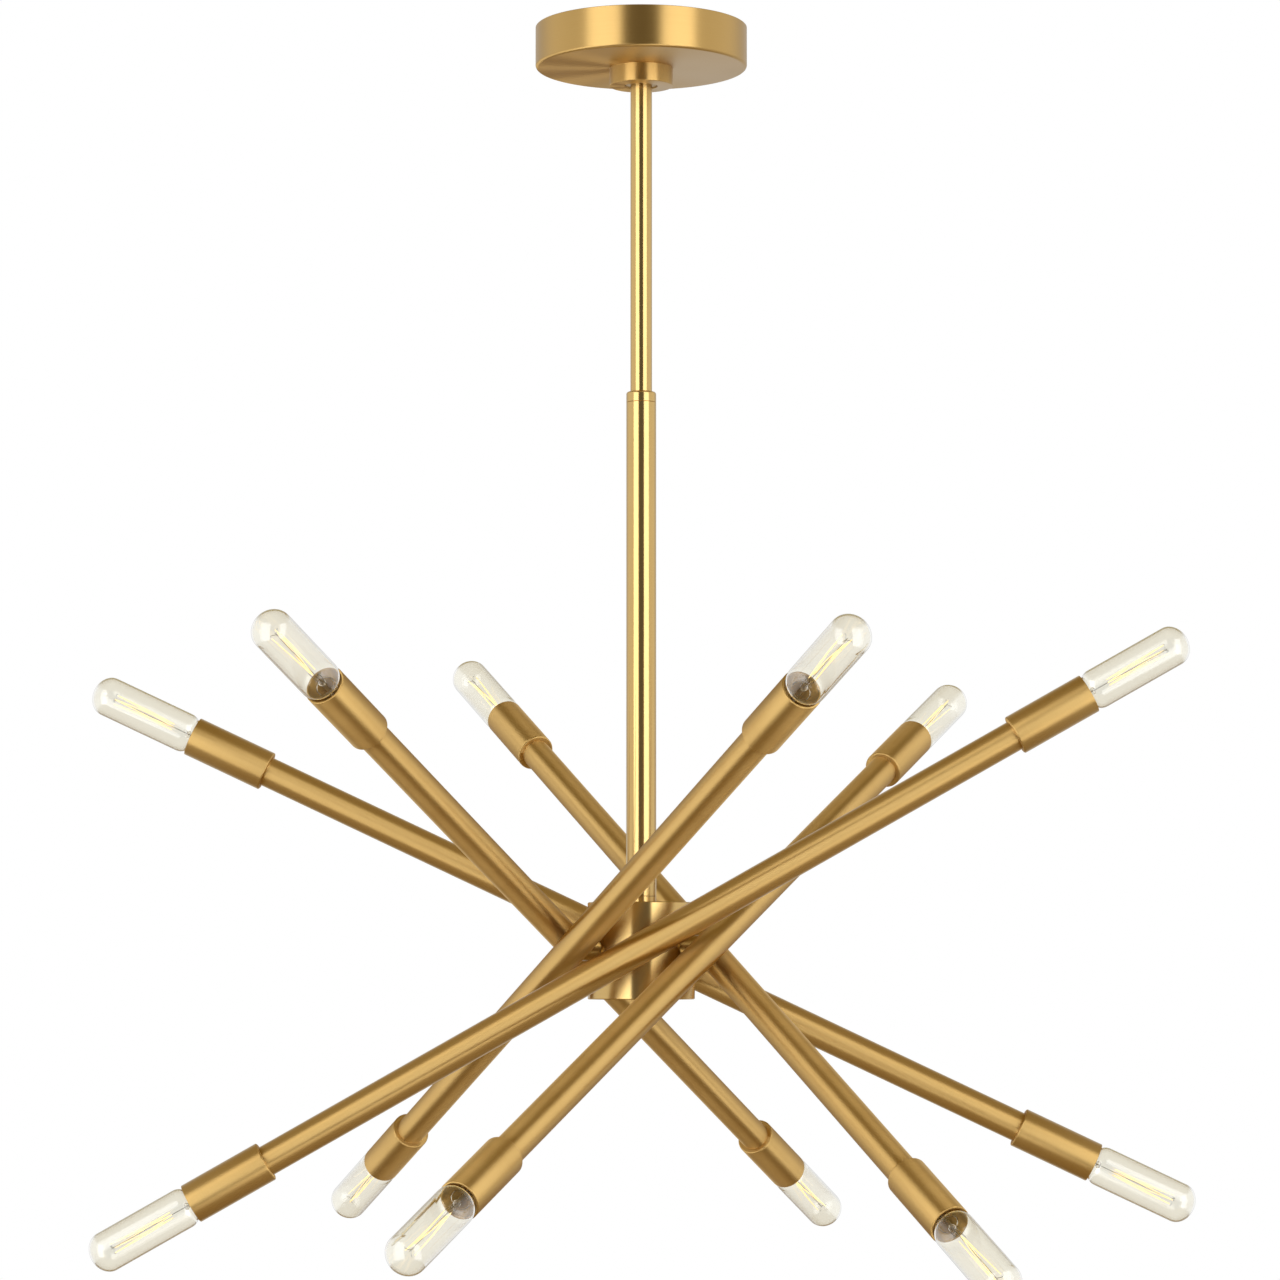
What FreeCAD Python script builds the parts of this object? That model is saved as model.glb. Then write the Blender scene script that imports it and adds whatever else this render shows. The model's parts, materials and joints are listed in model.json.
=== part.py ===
import FreeCAD, Part
import math
import os

# Sputnik chandelier: six straight arms, hung tangent to a round hub, each with a tubular bulb at
# both ends, on a two-diameter stem under a round ceiling canopy with a ball swivel.
# Millimetres, +Z up. The origin is on the ceiling, at the centre of the ceiling bar's back face,
# and the camera side of the chandelier is -Y.

V = FreeCAD.Vector

# ---- how far a cut runs past the face that it opens
cut_over = 1.0

# ---- canopy, against the ceiling
canopy_d = 133.4
canopy_height = 26.0
canopy_wall = 1.2
canopy_edge_radius = 2.0

# ---- ceiling bar, screwed to the outlet box, and what holds the chandelier to it
bar_length = 112.0
bar_width = 22.0
bar_thickness = 2.5
bar_corner_radius = 10.5
slot_pitch = 78.6
slot_length = 15.2
slot_width = 4.8
shank_d = 10.0
shank_bore_d = 6.8
shank_above_ceiling = 9.0
bar_nut_across = 16.0
bar_nut_height = 4.0
ground_screw_d = 4.0
ground_screw_head_d = 7.4
ground_screw_head_height = 2.4
ground_screw_edge_radius = 0.8
ground_screw_length = 5.0
ground_screw_offset = 20.0

# ---- ball swivel under the canopy, which lets the stem hang straight
collar_d = 40.0
collar_height = 11.3
collar_edge = 0.5
collar_mouth_d = 20.6
collar_floor = 1.3
collar_neck_d = 34.0
collar_neck_height = 12.7
collar_bore_d = 30.0
neck_clearance = 0.1
pivot_above_collar = 8.6
ball_d = 25.0
ball_below_pivot = 7.9
ball_above_pivot = 8.0
ball_clearance = 0.1
ball_wire_bore_d = 9.0
washer_above_mouth = 7.6
washer_clearance = 0.1
washer_lift = 0.05
cap_thickness = 3.0

# ---- upper stem, reducing ring and column
stem_d = 13.6
stem_wall = 1.2
stem_visible = 194.0
stem_in_ball = 9.0
stem_in_ring = 17.0
ring_height = 6.9
ring_edge_radius = 1.6
ring_spigot = 12.0
ring_seam = 0.4
column_d = 18.8
column_wall = 1.25
column_length = 309.8
base_ring_height = 4.0
base_spigot = 10.0
hub_spigot_d = 16.0
hub_spigot = 8.0
hub_spigot_bore_d = 12.0
lock_ring_d = 26.0
lock_ring_height = 4.0

# ---- hub
hub_d = 66.9
hub_height = 60.5
hub_edge = 0.5
hub_top_wall = 3.0
hub_bore_d = 61.0
hub_cover_d = 63.4
hub_cover_thickness = 3.0
hub_cover_edge = 0.25
studs_below_hub_top = 28.6
stud_seat_radial = 32.4
stud_flat_radial = 29.3
stud_seat_clearance = 0.3

# ---- arms: azimuth from the camera side towards +X, and the tilt that each is set to
arm_radial = 47.9
arm_azimuths = (0.3, 59.4, 119.7, 179.6, 239.5, 298.1)
arm_tilts = (29.6, 27.0, 30.4, 25.3, 28.3, 27.0)
arm_d = 19.05
arm_wall = 1.2
arm_half_length = 264.0
arm_end_plug = 8.0

# ---- stud that an arm turns on: a saddle shoulder on the tube and a hollow shank in the hub
saddle_d = 16.0
stud_d = 9.7
stud_bore_d = 6.5
stud_clearance = 0.05
stud_end_play = 0.05
stud_washer_d = 16.0
stud_washer_thickness = 1.0
stud_nut_across = 14.0
stud_nut_height = 4.0
stud_past_nut = 1.5

# ---- cup and lamp socket at each end of an arm
cup_d = 25.2
cup_wall = 1.2
cup_end_wall = 2.0
cup_length = 52.6
cup_edge_radius = 1.0
cup_rim_chamfer = 0.35
socket_body_d = 19.6
socket_front_d = 21.2
socket_front_length = 5.0
socket_length = 26.0
socket_floor = 9.0
socket_bore_d = 12.1
socket_wire_bore_d = 4.0
nipple_in_socket = 5.0

# ---- tubular bulb
bulb_d = 25.3
bulb_glass = 0.8
bulb_neck_d = 12.4
bulb_past_cup = 69.4
bulb_dome = 10.5
bulb_shoulder = 7.5
shoulder_past_cup = 6.2
cap_d = 11.8
cap_thread = 15.5
cap_tip_length = 2.0
cap_tip_d = 4.0
cap_skirt_d = 13.4
cap_skirt = 2.0
mount_flare_d = 9.0
mount_flare_length = 7.0
mount_rod_d = 4.4
mount_past_cup = 4.5
cage_d = 7.2
cage_past_cup = 13.0
cage_below_tip = 14.0
cage_strands = 6
filament_side = 0.5

# ---- heights that follow from the sizes above
canopy_bottom_z = -canopy_height
collar_bottom_z = canopy_bottom_z - collar_height
pivot_z = collar_bottom_z + pivot_above_collar
ring_top_z = collar_bottom_z - stem_visible
column_top_z = ring_top_z - ring_height
column_bottom_z = column_top_z - column_length
hub_top_z = column_bottom_z - base_ring_height
hub_bottom_z = hub_top_z - hub_height
arm_line_z = hub_top_z - studs_below_hub_top
neck_top_z = canopy_bottom_z + collar_neck_height
cup_mouth = arm_half_length + cup_length


def disc_stack(steps):
    """Solid of revolution about Z from (radius, z) corners, the first and last on the axis or bore."""
    corners = [V(r, 0, z) for r, z in steps]
    face = Part.Face(Part.makePolygon(corners + corners[:1]))
    return face.revolve(V(0, 0, 0), V(0, 0, 1), 360)


def rod(d, z0, z1):
    """Cylinder about Z between two heights."""
    return Part.makeCylinder(d / 2, z1 - z0, V(0, 0, z0))


def tube(d, bore, z0, z1):
    """Tube about Z between two heights."""
    return rod(d, z0, z1).cut(rod(bore, z0, z1))


def hexagon(across, z0, z1, bore):
    """Hexagon nut about Z."""
    corner = across / 2 / math.cos(math.radians(30))
    ring = [V(corner * math.cos(math.radians(60 * i)), corner * math.sin(math.radians(60 * i)), z0)
            for i in range(6)]
    return Part.Face(Part.makePolygon(ring + ring[:1])).extrude(V(0, 0, z1 - z0)).cut(rod(bore, z0, z1))


def soften(solid, radius, chosen):
    """Fillet the edges that chosen(edge) picks."""
    return solid.makeFillet(radius, [e for e in solid.Edges if chosen(e)])


def circle_at(radius, z):
    """Picker for the full circle of this radius at this height."""
    def chosen(edge):
        return (isinstance(edge.Curve, Part.Circle)
                and abs(edge.Curve.Radius - radius) < 0.01
                and abs(edge.Curve.Center.z - z) < 0.01)
    return chosen


def place(solid, origin, x_dir, z_dir):
    """Turn a solid made about Z so that its X and Z point along two square directions, and move it."""
    y_dir = z_dir.cross(x_dir)
    turn = FreeCAD.Matrix(x_dir.x, y_dir.x, z_dir.x, origin.x,
                          x_dir.y, y_dir.y, z_dir.y, origin.y,
                          x_dir.z, y_dir.z, z_dir.z, origin.z,
                          0, 0, 0, 1)
    placed = solid.copy()
    placed.Placement = FreeCAD.Placement(turn)
    return placed


def arm_frame(azimuth, tilt):
    """Centre of an arm, the outward direction of its stud, and the direction of its upper end."""
    a = math.radians(azimuth)
    t = math.radians(tilt)
    outward = V(math.sin(a), -math.cos(a), 0)
    along = V(math.cos(a) * math.cos(t), math.sin(a) * math.cos(t), math.sin(t))
    return outward * arm_radial + V(0, 0, arm_line_z), outward, along


# ---- ceiling parts

def canopy():
    """Round pan, open to the ceiling, with a hole for the collar's neck."""
    r = canopy_d / 2
    pan = disc_stack([(0, canopy_bottom_z), (r, canopy_bottom_z), (r, 0), (0, 0)])
    pan = soften(pan, canopy_edge_radius, circle_at(r, canopy_bottom_z))
    inner_r = r - canopy_wall
    hollow = disc_stack([(0, canopy_bottom_z + canopy_wall), (inner_r, canopy_bottom_z + canopy_wall),
                         (inner_r, cut_over), (0, cut_over)])
    inner_edge = canopy_edge_radius - canopy_wall
    hollow = soften(hollow, inner_edge, circle_at(inner_r, canopy_bottom_z + canopy_wall))
    neck_hole = rod(collar_neck_d + 2 * neck_clearance, canopy_bottom_z - cut_over, 0)
    return pan.cut(hollow).cut(neck_hole)


def slot(centre_x):
    """Round-ended slot through the ceiling bar, along X."""
    straight = slot_length - slot_width
    block = Part.makeBox(straight, slot_width, 2 * bar_thickness,
                         V(centre_x - straight / 2, -slot_width / 2, -1.5 * bar_thickness))
    ends = [rod(slot_width, -1.5 * bar_thickness, bar_thickness / 2) for _ in range(2)]
    ends[0].translate(V(centre_x - straight / 2, 0, 0))
    ends[1].translate(V(centre_x + straight / 2, 0, 0))
    return block.fuse(ends)


def ceiling_bar():
    """Flat steel bar with round ends, two slots for the outlet box screws and a tapped centre hole."""
    plate = Part.makeBox(bar_length, bar_width, bar_thickness,
                         V(-bar_length / 2, -bar_width / 2, -bar_thickness))
    plate = soften(plate, bar_corner_radius, lambda e: abs(e.tangentAt(e.FirstParameter).z) > 0.9)
    for side in (-1, 1):
        plate = plate.cut(slot(side * slot_pitch / 2))
    ground_hole = rod(ground_screw_d, -2 * bar_thickness, bar_thickness)
    ground_hole.translate(V(-ground_screw_offset, 0, 0))
    return plate.cut(rod(shank_d, -2 * bar_thickness, bar_thickness)).cut(ground_hole)


def ceiling_bar_fasteners():
    """Hexagon nuts below and above the bar, and the ground screw in it."""
    below = hexagon(bar_nut_across, -bar_thickness - bar_nut_height, -bar_thickness, shank_d)
    above = hexagon(bar_nut_across, 0, bar_nut_height, shank_d)
    head_z = -bar_thickness - ground_screw_head_height
    screw = rod(ground_screw_head_d, head_z, -bar_thickness)
    screw = soften(screw, ground_screw_edge_radius, circle_at(ground_screw_head_d / 2, head_z))
    screw = screw.fuse(rod(ground_screw_d, -bar_thickness, -bar_thickness + ground_screw_length))
    screw.translate(V(-ground_screw_offset, 0, 0))
    return Part.makeCompound([below, above, screw])


# ---- ball swivel

def swivel_collar():
    """Collar under the canopy: a mouth for the stem, a seat for the washer, a neck into the canopy."""
    floor_z = collar_bottom_z + collar_floor
    r = collar_d / 2
    return disc_stack([(collar_mouth_d / 2, collar_bottom_z), (r - collar_edge, collar_bottom_z),
                       (r, collar_bottom_z + collar_edge), (r, canopy_bottom_z),
                       (collar_neck_d / 2, canopy_bottom_z), (collar_neck_d / 2, neck_top_z),
                       (collar_bore_d / 2, neck_top_z), (collar_bore_d / 2, floor_z),
                       (collar_mouth_d / 2, floor_z)])


def swivel_cap():
    """Plug that closes the collar's neck, with the hollow shank that hangs from the ceiling bar."""
    plug = tube(collar_bore_d, shank_bore_d, neck_top_z - cap_thickness, neck_top_z)
    return plug.fuse(tube(shank_d, shank_bore_d, neck_top_z, shank_above_ceiling)).removeSplitter()


def swivel_washer():
    """Bearing ring on the collar's floor, with a spherical seat for the ball."""
    low_z = collar_bottom_z + collar_floor + washer_lift
    ring = rod(collar_bore_d - 2 * washer_clearance, low_z, collar_bottom_z + washer_above_mouth)
    return ring.cut(Part.makeSphere(ball_d / 2 + ball_clearance, V(0, 0, pivot_z)))


def swivel_ball():
    """Ball on the stem's end, flat above and below, bored for the stem and the wires."""
    ball = Part.makeSphere(ball_d / 2, V(0, 0, pivot_z))
    low_z = pivot_z - ball_below_pivot
    ball = ball.common(rod(ball_d, low_z, pivot_z + ball_above_pivot))
    ball = ball.cut(rod(stem_d, low_z, low_z + stem_in_ball))
    return ball.cut(rod(ball_wire_bore_d, low_z, pivot_z + ball_above_pivot))


# ---- stem and column

def upper_stem():
    """Slim tube from the ball down into the reducing ring."""
    top_z = pivot_z - ball_below_pivot + stem_in_ball
    return tube(stem_d, stem_d - 2 * stem_wall, ring_top_z - stem_in_ring, top_z)


def reducing_ring():
    """Ring that closes the column's top, with a spigot inside the column."""
    r = column_d / 2
    cap = disc_stack([(0, column_top_z), (r - ring_seam, column_top_z), (r, column_top_z + ring_seam),
                      (r, ring_top_z), (0, ring_top_z)])
    cap = soften(cap, ring_edge_radius, circle_at(r, ring_top_z))
    spigot = rod(column_d - 2 * column_wall, column_top_z - ring_spigot, column_top_z)
    return cap.fuse(spigot).cut(rod(stem_d, column_top_z - ring_spigot, ring_top_z)).removeSplitter()


def column_tube():
    """Wide tube between the two rings."""
    return tube(column_d, column_d - 2 * column_wall, column_bottom_z, column_top_z)


def base_ring():
    """Ring between column and hub, with a spigot up into the column and one down into the hub."""
    r = column_d / 2
    column_bore_r = r - column_wall
    bore_r = hub_spigot_bore_d / 2
    return disc_stack([(bore_r, hub_top_z - hub_spigot), (hub_spigot_d / 2, hub_top_z - hub_spigot),
                       (hub_spigot_d / 2, hub_top_z), (r, hub_top_z),
                       (r, column_bottom_z - ring_seam), (r - ring_seam, column_bottom_z),
                       (column_bore_r, column_bottom_z), (column_bore_r, column_bottom_z + base_spigot),
                       (bore_r, column_bottom_z + base_spigot)])


def lock_ring():
    """Round nut inside the hub, on the base ring's lower spigot."""
    top_z = hub_top_z - hub_top_wall
    return tube(lock_ring_d, hub_spigot_d, top_z - lock_ring_height, top_z)


def column_rings():
    return Part.makeCompound([reducing_ring(), base_ring(), lock_ring()])


# ---- hub

def stud_axis_rod(azimuth, d, radial0, radial1):
    """Cylinder along one stud's axis, between two distances from the hub's centre."""
    centre, outward, along = arm_frame(azimuth, 0)
    return place(rod(d, radial0, radial1), V(0, 0, arm_line_z), along, outward)


def hub_cavity():
    """Round cavity with a flat behind each stud for its washer."""
    top_z = hub_top_z - hub_top_wall
    cavity = rod(hub_bore_d, hub_bottom_z, top_z)
    wide = hub_d / 2
    for azimuth in arm_azimuths:
        centre, outward, along = arm_frame(azimuth, 0)
        block = Part.makeBox(hub_d, 2 * hub_height, wide, V(-wide, -hub_height, stud_flat_radial))
        cavity = cavity.cut(place(block, V(0, 0, arm_line_z), along, outward))
    return cavity


def hub_shell():
    """Turned hub, closed at the top, with six spot-faced and bored stud seats."""
    r = hub_d / 2
    shell = disc_stack([(0, hub_bottom_z), (r - hub_edge, hub_bottom_z), (r, hub_bottom_z + hub_edge),
                        (r, hub_top_z - hub_edge), (r - hub_edge, hub_top_z), (0, hub_top_z)])
    shell = shell.cut(hub_cavity())
    shell = shell.cut(rod(hub_cover_d, hub_bottom_z, hub_bottom_z + hub_cover_thickness))
    shell = shell.cut(rod(hub_spigot_d, hub_top_z - 2 * hub_top_wall, hub_top_z))
    for azimuth in arm_azimuths:
        seat = stud_axis_rod(azimuth, saddle_d + 2 * stud_seat_clearance, stud_seat_radial, r + cut_over)
        bore = stud_axis_rod(azimuth, stud_d + 2 * stud_clearance, stud_flat_radial - cut_over, r + cut_over)
        shell = shell.cut(seat).cut(bore)
    return shell


def hub_cover():
    """Screwed disc that closes the hub from below."""
    r = hub_cover_d / 2
    top_z = hub_bottom_z + hub_cover_thickness
    return disc_stack([(0, hub_bottom_z), (r - hub_cover_edge, hub_bottom_z),
                       (r, hub_bottom_z + hub_cover_edge), (r, top_z), (0, top_z)])


# ---- one arm, made about Z with its middle at the origin and its stud along -X

def both_ends(end):
    """The same piece at the arm's two ends."""
    far = end.copy()
    far.rotate(V(0, 0, 0), V(1, 0, 0), 180)
    return Part.makeCompound([end, far])


def across_arm(solid):
    """Turn a solid made about Z so that it lies along X, with its Z pointing outward."""
    return place(solid, V(-arm_radial, 0, 0), V(0, 0, 1), V(1, 0, 0))


def arm_tube():
    """Arm: a tube with tapped plugs in its ends and a wire hole over the stud."""
    bore = arm_d - 2 * arm_wall
    plug_start = arm_half_length - arm_end_plug
    body = tube(arm_d, bore, -plug_start, plug_start)
    plug = tube(arm_d, stud_d, plug_start, arm_half_length)
    body = body.fuse([plug, both_ends(plug).Solids[1]]).removeSplitter()
    return body.cut(across_arm(rod(stud_bore_d, arm_radial - arm_d, arm_radial)))


def arm_stud():
    """Stud brazed to the arm: a shoulder that fits the tube like a saddle, and a hollow shank."""
    seat = stud_seat_radial + stud_end_play
    washer_face = stud_flat_radial - stud_end_play
    shank_end = washer_face - stud_washer_thickness - stud_nut_height - stud_past_nut
    body = rod(saddle_d, seat, arm_radial).fuse(rod(stud_d, shank_end, seat))
    body = body.cut(rod(stud_bore_d, shank_end, arm_radial))
    return across_arm(body).cut(rod(arm_d, -arm_radial, arm_radial))


def stud_nuts():
    """Washer and hexagon nut on the shank, inside the hub."""
    washer_face = stud_flat_radial - stud_end_play
    nut_face = washer_face - stud_washer_thickness
    washer = tube(stud_washer_d, stud_d, nut_face, washer_face)
    nut = hexagon(stud_nut_across, nut_face - stud_nut_height, nut_face, stud_d)
    return across_arm(Part.makeCompound([washer, nut]))


def socket_cup():
    """Plain turned cup, its closed end against the arm's end."""
    r = cup_d / 2
    inner_r = r - cup_wall
    floor_z = arm_half_length + cup_end_wall
    cup = disc_stack([(stud_d / 2, arm_half_length), (r, arm_half_length),
                      (r, cup_mouth - cup_rim_chamfer), (r - cup_rim_chamfer, cup_mouth),
                      (inner_r, cup_mouth), (inner_r, floor_z), (stud_d / 2, floor_z)])
    return soften(cup, cup_edge_radius, circle_at(r, arm_half_length))


def socket_nipple():
    """Threaded tube from the arm's end, through the cup, into the back of the lamp socket."""
    front_z = arm_half_length + cup_end_wall + nipple_in_socket
    return tube(stud_d, socket_wire_bore_d, arm_half_length - arm_end_plug, front_z)


def lamp_socket():
    """Candelabra lamp socket: a back that screws on the nipple, and a mouth for the bulb."""
    back_z = arm_half_length + cup_end_wall
    nipple_z = back_z + nipple_in_socket
    front_z = back_z + socket_length
    wire_r = socket_wire_bore_d / 2
    return disc_stack([(stud_d / 2, back_z), (socket_body_d / 2, back_z),
                       (socket_body_d / 2, front_z - socket_front_length),
                       (socket_front_d / 2, front_z - socket_front_length),
                       (socket_front_d / 2, front_z), (socket_bore_d / 2, front_z),
                       (socket_bore_d / 2, back_z + socket_floor), (wire_r, back_z + socket_floor),
                       (wire_r, nipple_z), (stud_d / 2, nipple_z)])


def lamp_sockets():
    """Both ends' nipples and lamp sockets."""
    return Part.makeCompound(both_ends(socket_nipple()).Solids + both_ends(lamp_socket()).Solids)


def cap_tip_z():
    """Where the bulb's contact meets the socket's floor."""
    return arm_half_length + cup_end_wall + socket_floor


def glass_start_z():
    """Where the bulb's glass leaves its cap."""
    return cap_tip_z() + cap_tip_length + cap_thread + cap_skirt


def bulb_cap():
    """Screw cap of the bulb: contact, thread cylinder and skirt."""
    shoulder_z = cap_tip_z() + cap_tip_length
    skirt_z = shoulder_z + cap_thread
    return disc_stack([(0, cap_tip_z()), (cap_tip_d / 2, cap_tip_z()), (cap_d / 2, shoulder_z),
                       (cap_d / 2, skirt_z), (cap_skirt_d / 2, skirt_z + cap_skirt / 2),
                       (cap_skirt_d / 2, glass_start_z()), (0, glass_start_z())])


def bulb_body(shrink):
    """Filled outline of the bulb, drawn in by this much: neck, shoulder, tube and dome."""
    r = bulb_d / 2 - shrink
    neck_r = bulb_neck_d / 2 - shrink
    start_z = glass_start_z() + shrink
    full_z = cup_mouth + shoulder_past_cup
    shoulder_z = full_z - bulb_shoulder
    dome_z = cup_mouth + bulb_past_cup - bulb_dome
    shoulder = quarter_ellipse(neck_r, full_z, r - neck_r, bulb_shoulder, 90)
    dome = quarter_ellipse(0, dome_z, r, bulb_dome - shrink, 0)
    outline = [Part.makeLine(V(0, 0, start_z), V(neck_r, 0, start_z)),
               Part.makeLine(V(neck_r, 0, start_z), V(neck_r, 0, shoulder_z)), shoulder,
               Part.makeLine(V(r, 0, full_z), V(r, 0, dome_z)), dome,
               Part.makeLine(V(0, 0, dome_z + bulb_dome - shrink), V(0, 0, start_z))]
    wire = Part.Wire(Part.__sortEdges__(outline))
    return Part.Face(wire).revolve(V(0, 0, 0), V(0, 0, 1), 360)


def quarter_ellipse(centre_r, centre_z, half_r, half_z, turned):
    """Quarter of an ellipse beside the axis: 0 closes upward to the axis, 90 closes downward."""
    flat = FreeCAD.Matrix()
    flat.scale(half_r, half_z, 1)
    arc = Part.Arc(*[V(math.cos(math.radians(a)), math.sin(math.radians(a)), 0)
                     for a in ((0, 45, 90) if turned == 0 else (0, -45, -90))]).toShape()
    curve = arc.transformGeometry(flat)
    curve.rotate(V(0, 0, 0), V(1, 0, 0), 90)
    curve.translate(V(centre_r, 0, centre_z))
    return curve


def bulb_glass_envelope():
    """Hollow glass, closed at the dome and sealed into the cap."""
    return bulb_body(0).cut(bulb_body(bulb_glass))


def glass_mount():
    """Glass flare and rod that carry the wires up from the cap."""
    start_z = glass_start_z() + bulb_glass
    flare_z = start_z + mount_flare_length
    end_z = cup_mouth + mount_past_cup
    r = mount_rod_d / 2
    return disc_stack([(0, start_z), (mount_flare_d / 2, start_z), (r, flare_z), (r, end_z), (0, end_z)])


def filament_cage():
    """One square wire: a lead up from the mount, strands up and down round a circle, a lead back."""
    start_z = cup_mouth + mount_past_cup
    low_z = cup_mouth + cage_past_cup
    high_z = cup_mouth + bulb_past_cup - cage_below_tip
    lead_r = (mount_rod_d / 2 - filament_side) / (cage_d / 2)
    heights = [low_z, high_z]
    spots = []
    for i in range(cage_strands):
        angle = 2 * math.pi * i / cage_strands
        spot = V(cage_d / 2 * math.cos(angle), cage_d / 2 * math.sin(angle), 0)
        spots += [spot + V(0, 0, heights[i % 2]), spot + V(0, 0, heights[1 - i % 2])]
    first = V(spots[0].x * lead_r, spots[0].y * lead_r, start_z)
    last = V(spots[-1].x * lead_r, spots[-1].y * lead_r, start_z)
    path = Part.makePolygon([first] + spots + [last])
    half = filament_side / 2
    section = Part.makePolygon([first + V(x, y, 0) for x, y in
                                ((half, half), (-half, half), (-half, -half), (half, -half), (half, half))])
    pipe = Part.BRepOffsetAPI.MakePipeShell(path)
    pipe.setTransitionMode(1)
    pipe.add(section)
    pipe.build()
    pipe.makeSolid()
    return pipe.shape()


def bulb_filament():
    """Both ends' glass mounts and filament cages."""
    mounts = both_ends(glass_mount()).Solids
    return Part.makeCompound(mounts + both_ends(filament_cage()).Solids)


# ---- the whole chandelier

nodes = {
    "canopy": canopy(),
    "ceiling_bar": ceiling_bar(),
    "ceiling_bar_fasteners": ceiling_bar_fasteners(),
    "swivel_collar": swivel_collar(),
    "swivel_cap": swivel_cap(),
    "swivel_washer": swivel_washer(),
    "swivel_ball": swivel_ball(),
    "upper_stem": upper_stem(),
    "column_tube": column_tube(),
    "column_rings": column_rings(),
    "hub_shell": hub_shell(),
    "hub_cover": hub_cover(),
}

arm_pieces = {
    "arm_tube": arm_tube(),
    "arm_stud": arm_stud(),
    "stud_nuts": stud_nuts(),
    "socket_cups": both_ends(socket_cup()),
    "lamp_sockets": lamp_sockets(),
    "bulb_glass": both_ends(bulb_glass_envelope()),
    "bulb_caps": both_ends(bulb_cap()),
    "bulb_filaments": bulb_filament(),
}

for number, (azimuth, tilt) in enumerate(zip(arm_azimuths, arm_tilts), start=1):
    centre, outward, along = arm_frame(azimuth, tilt)
    for name, piece in arm_pieces.items():
        nodes[f"{name}_{number}"] = place(piece, centre, outward, along)

os.makedirs("parts", exist_ok=True)
for name, shape in nodes.items():
    shape.exportStep(f"parts/{name}.step")
    print(name, len(shape.Solids), "solids", shape.isValid(), round(shape.Volume, 1), "mm3")
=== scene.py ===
"""Sputnik chandelier: six straight brass arms round a hub, with a tubular bulb at both ends of each."""

import json
import math

import bpy
from mathutils import Matrix, Vector


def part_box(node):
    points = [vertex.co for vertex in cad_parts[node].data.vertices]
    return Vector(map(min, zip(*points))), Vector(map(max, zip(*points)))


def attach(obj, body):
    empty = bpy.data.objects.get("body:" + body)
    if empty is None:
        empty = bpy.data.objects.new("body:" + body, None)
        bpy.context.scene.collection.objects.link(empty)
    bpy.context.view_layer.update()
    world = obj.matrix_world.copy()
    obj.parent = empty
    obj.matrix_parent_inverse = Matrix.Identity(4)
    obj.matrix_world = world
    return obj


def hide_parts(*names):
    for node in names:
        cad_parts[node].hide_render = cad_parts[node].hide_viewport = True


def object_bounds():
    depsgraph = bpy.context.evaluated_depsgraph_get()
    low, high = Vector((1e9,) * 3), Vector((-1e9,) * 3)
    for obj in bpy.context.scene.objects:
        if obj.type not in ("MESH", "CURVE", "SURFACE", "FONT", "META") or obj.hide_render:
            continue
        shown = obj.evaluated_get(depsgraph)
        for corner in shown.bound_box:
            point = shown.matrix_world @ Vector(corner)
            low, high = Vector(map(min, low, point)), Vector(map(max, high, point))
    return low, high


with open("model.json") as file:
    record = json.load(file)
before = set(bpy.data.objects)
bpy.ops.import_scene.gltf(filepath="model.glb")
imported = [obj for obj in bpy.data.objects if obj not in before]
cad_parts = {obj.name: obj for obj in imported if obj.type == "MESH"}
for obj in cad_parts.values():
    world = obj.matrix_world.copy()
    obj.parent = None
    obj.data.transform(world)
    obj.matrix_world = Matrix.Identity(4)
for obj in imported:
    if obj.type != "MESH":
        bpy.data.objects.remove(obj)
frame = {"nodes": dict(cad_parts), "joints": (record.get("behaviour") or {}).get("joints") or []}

bl_info = {
    "name": "Sputnik chandelier",
    "version": (1, 0, 0),
    "blender": (4, 5, 0),
    "location": "3D View > Sidebar > Chandelier",
    "description": "Models a sputnik chandelier with brass arms and lit tubular bulbs",
    "category": "Object",
}

MM = 0.001
CAD_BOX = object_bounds()
ARM_JOINTS = [joint for joint in frame["joints"] if joint["child"].startswith("arm_")]
GRAIN = "grain_place"
GRAIN_UV = "grain_uv"
MERGE_DISTANCE = 0.002 * MM
BROKEN_EDGE = 0.3 * MM
HARD_EDGE_ANGLE = 25
GLASS_PAST_THREAD = 4 * MM
NOISE_LOW = 0.3
NOISE_HIGH = 0.7

# The camera of the reference photo, in its pixels, and in metres and degrees.
PHOTO_WIDTH = 1280
FOCAL_LENGTH = 4329.3
LEVEL_OF_AXIS = 746.1
SENSOR_WIDTH = 36
CAMERA_PLACE = (-0.00078, -2.7057, -0.6002)
CAMERA_TILT = 3.088

# The studio, in metres and watts.
FLOOR_RADIUS = 2.8
FLOOR_HEIGHT = -2.7
SOFTBOX_ASIDE = 1.31
SOFTBOX_IN_FRONT = 1.51
SOFTBOX_WIDTH = 1.38
SOFTBOX_HEIGHT = 2.8
SOFTBOX_POWER = 27
SOFTBOX_COLOUR = "#F4F8FF"


# ---- sizes and colours that a user would change


def length(name, description, default):
    """A length property in metres, given in millimetres."""
    return bpy.props.FloatProperty(name=name, description=description, default=default * MM,
                                   min=0.0, unit="LENGTH", precision=5)


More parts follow.
